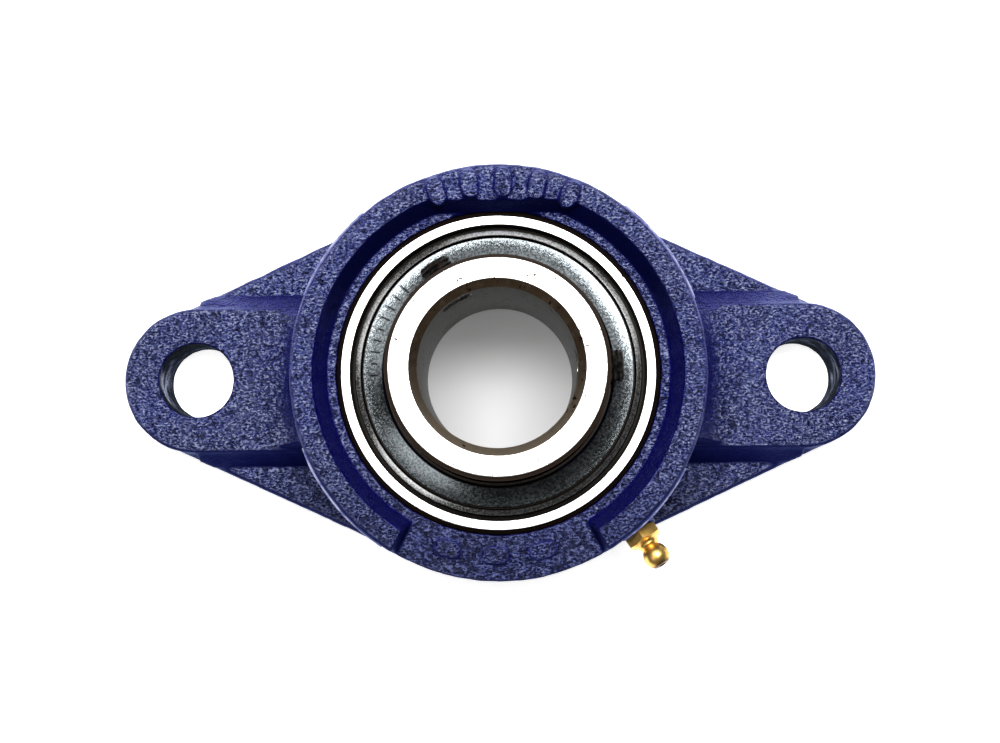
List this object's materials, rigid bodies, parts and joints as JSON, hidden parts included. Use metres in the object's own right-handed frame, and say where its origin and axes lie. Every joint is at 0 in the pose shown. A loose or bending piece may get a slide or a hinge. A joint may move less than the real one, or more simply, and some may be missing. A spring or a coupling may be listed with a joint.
{
  "type": "flange mount bearing",
  "caption": "Two-bolt rhombic flange bearing: painted cast housing holding a self-aligning ball bearing insert with set screws, seals and a grease nipple.",
  "frame": {"origin": "centre of the housing's back (mounting) face, where the shaft's axis crosses it", "axes": "+Z along the shaft's axis, out of the front; +X along the line of the two bolt holes; +Y across it, so the grease nipple is at +X -Y"},
  "size_m": [0.1454, 0.078, 0.0402],
  "materials": {
    "housing_paint": "gloss",
    "brass": "satin",
    "ground_steel": "satin",
    "slinger_steel": "satin",
    "seal_steel": "satin",
    "seal_rubber": "matte",
    "cage_steel": "satin",
    "ball_steel": "polished",
    "screw_black": "matte",
    "spring_steel": "satin"
  },
  "bodies": {
    "housing": {"housing": "housing_paint", "grease_nipple_body": "brass", "nipple_spring": "spring_steel"},
    "check_ball": {"nipple_check_ball": "ball_steel"},
    "outer_ring": {"outer_ring": "ground_steel", "front_seal_carrier": "seal_steel", "rear_seal_carrier": "seal_steel", "front_seal_lip": "seal_rubber", "rear_seal_lip": "seal_rubber"},
    "inner_ring": {"inner_ring": "ground_steel", "front_slinger": "slinger_steel", "rear_slinger": "slinger_steel"},
    "cage": {"cage_front_half": "cage_steel", "cage_rear_half": "cage_steel", "cage_rivets": "cage_steel"},
    "ball_1": {"ball_1": "ball_steel"},
    "ball_2": {"ball_2": "ball_steel"},
    "ball_3": {"ball_3": "ball_steel"},
    "ball_4": {"ball_4": "ball_steel"},
    "ball_5": {"ball_5": "ball_steel"},
    "ball_6": {"ball_6": "ball_steel"},
    "ball_7": {"ball_7": "ball_steel"},
    "ball_8": {"ball_8": "ball_steel"},
    "ball_9": {"ball_9": "ball_steel"},
    "set_screw_1": {"set_screw_1": "screw_black"},
    "set_screw_2": {"set_screw_2": "screw_black"}
  },
  "joints": [
    {"name": "align_tilt", "type": "hinge", "parent": "housing", "child": "outer_ring", "pos_m": [0, 0, 0.018], "axis": [1, 0, 0], "range_deg": [-2, 2]},
    {"name": "shaft_spin", "type": "hinge", "parent": "outer_ring", "child": "inner_ring", "pos_m": [0, 0, 0.018], "axis": [0, 0, 1], "continuous": true},
    {"name": "cage_orbit", "type": "hinge", "parent": "outer_ring", "child": "cage", "pos_m": [0, 0, 0.018], "axis": [0, 0, 1], "continuous": true},
    {"name": "ball_1_spin", "type": "hinge", "parent": "cage", "child": "ball_1", "pos_m": [0.023, 0, 0.018], "axis": [0, 0, 1], "continuous": true},
    {"name": "ball_2_spin", "type": "hinge", "parent": "cage", "child": "ball_2", "pos_m": [0.01762, 0.01478, 0.018], "axis": [0, 0, 1], "continuous": true},
    {"name": "ball_3_spin", "type": "hinge", "parent": "cage", "child": "ball_3", "pos_m": [0.00399, 0.02265, 0.018], "axis": [0, 0, 1], "continuous": true},
    {"name": "ball_4_spin", "type": "hinge", "parent": "cage", "child": "ball_4", "pos_m": [-0.0115, 0.01992, 0.018], "axis": [0, 0, 1], "continuous": true},
    {"name": "ball_5_spin", "type": "hinge", "parent": "cage", "child": "ball_5", "pos_m": [-0.02161, 0.00787, 0.018], "axis": [0, 0, 1], "continuous": true},
    {"name": "ball_6_spin", "type": "hinge", "parent": "cage", "child": "ball_6", "pos_m": [-0.02161, -0.00787, 0.018], "axis": [0, 0, 1], "continuous": true},
    {"name": "ball_7_spin", "type": "hinge", "parent": "cage", "child": "ball_7", "pos_m": [-0.0115, -0.01992, 0.018], "axis": [0, 0, 1], "continuous": true},
    {"name": "ball_8_spin", "type": "hinge", "parent": "cage", "child": "ball_8", "pos_m": [0.00399, -0.02265, 0.018], "axis": [0, 0, 1], "continuous": true},
    {"name": "ball_9_spin", "type": "hinge", "parent": "cage", "child": "ball_9", "pos_m": [0.01762, -0.01478, 0.018], "axis": [0, 0, 1], "continuous": true},
    {"name": "set_screw_1_travel", "type": "slide", "parent": "inner_ring", "child": "set_screw_1", "axis": [-0.9998, -0.0175, 0], "range_m": [-0.0015, 0.0021]},
    {"name": "set_screw_2_travel", "type": "slide", "parent": "inner_ring", "child": "set_screw_2", "axis": [0.515, -0.8572, 0], "range_m": [-0.0015, 0.0021]},
    {"name": "nipple_check_push", "type": "slide", "parent": "housing", "child": "check_ball", "axis": [-0.5285, 0.8138, -0.2419], "range_m": [0, 0.001], "stiffness_N_per_m": 200, "springref_m": -0.001, "deforming": ["nipple_spring"]}
  ],
  "couplings": [
    {"joint": "cage_orbit", "follows": "shaft_spin", "ratio": 0.39647},
    {"joint": "ball_1_spin", "follows": "shaft_spin", "ratio": -2.3112},
    {"joint": "ball_2_spin", "follows": "shaft_spin", "ratio": -2.3112},
    {"joint": "ball_3_spin", "follows": "shaft_spin", "ratio": -2.3112},
    {"joint": "ball_4_spin", "follows": "shaft_spin", "ratio": -2.3112},
    {"joint": "ball_5_spin", "follows": "shaft_spin", "ratio": -2.3112},
    {"joint": "ball_6_spin", "follows": "shaft_spin", "ratio": -2.3112},
    {"joint": "ball_7_spin", "follows": "shaft_spin", "ratio": -2.3112},
    {"joint": "ball_8_spin", "follows": "shaft_spin", "ratio": -2.3112},
    {"joint": "ball_9_spin", "follows": "shaft_spin", "ratio": -2.3112}
  ]
}
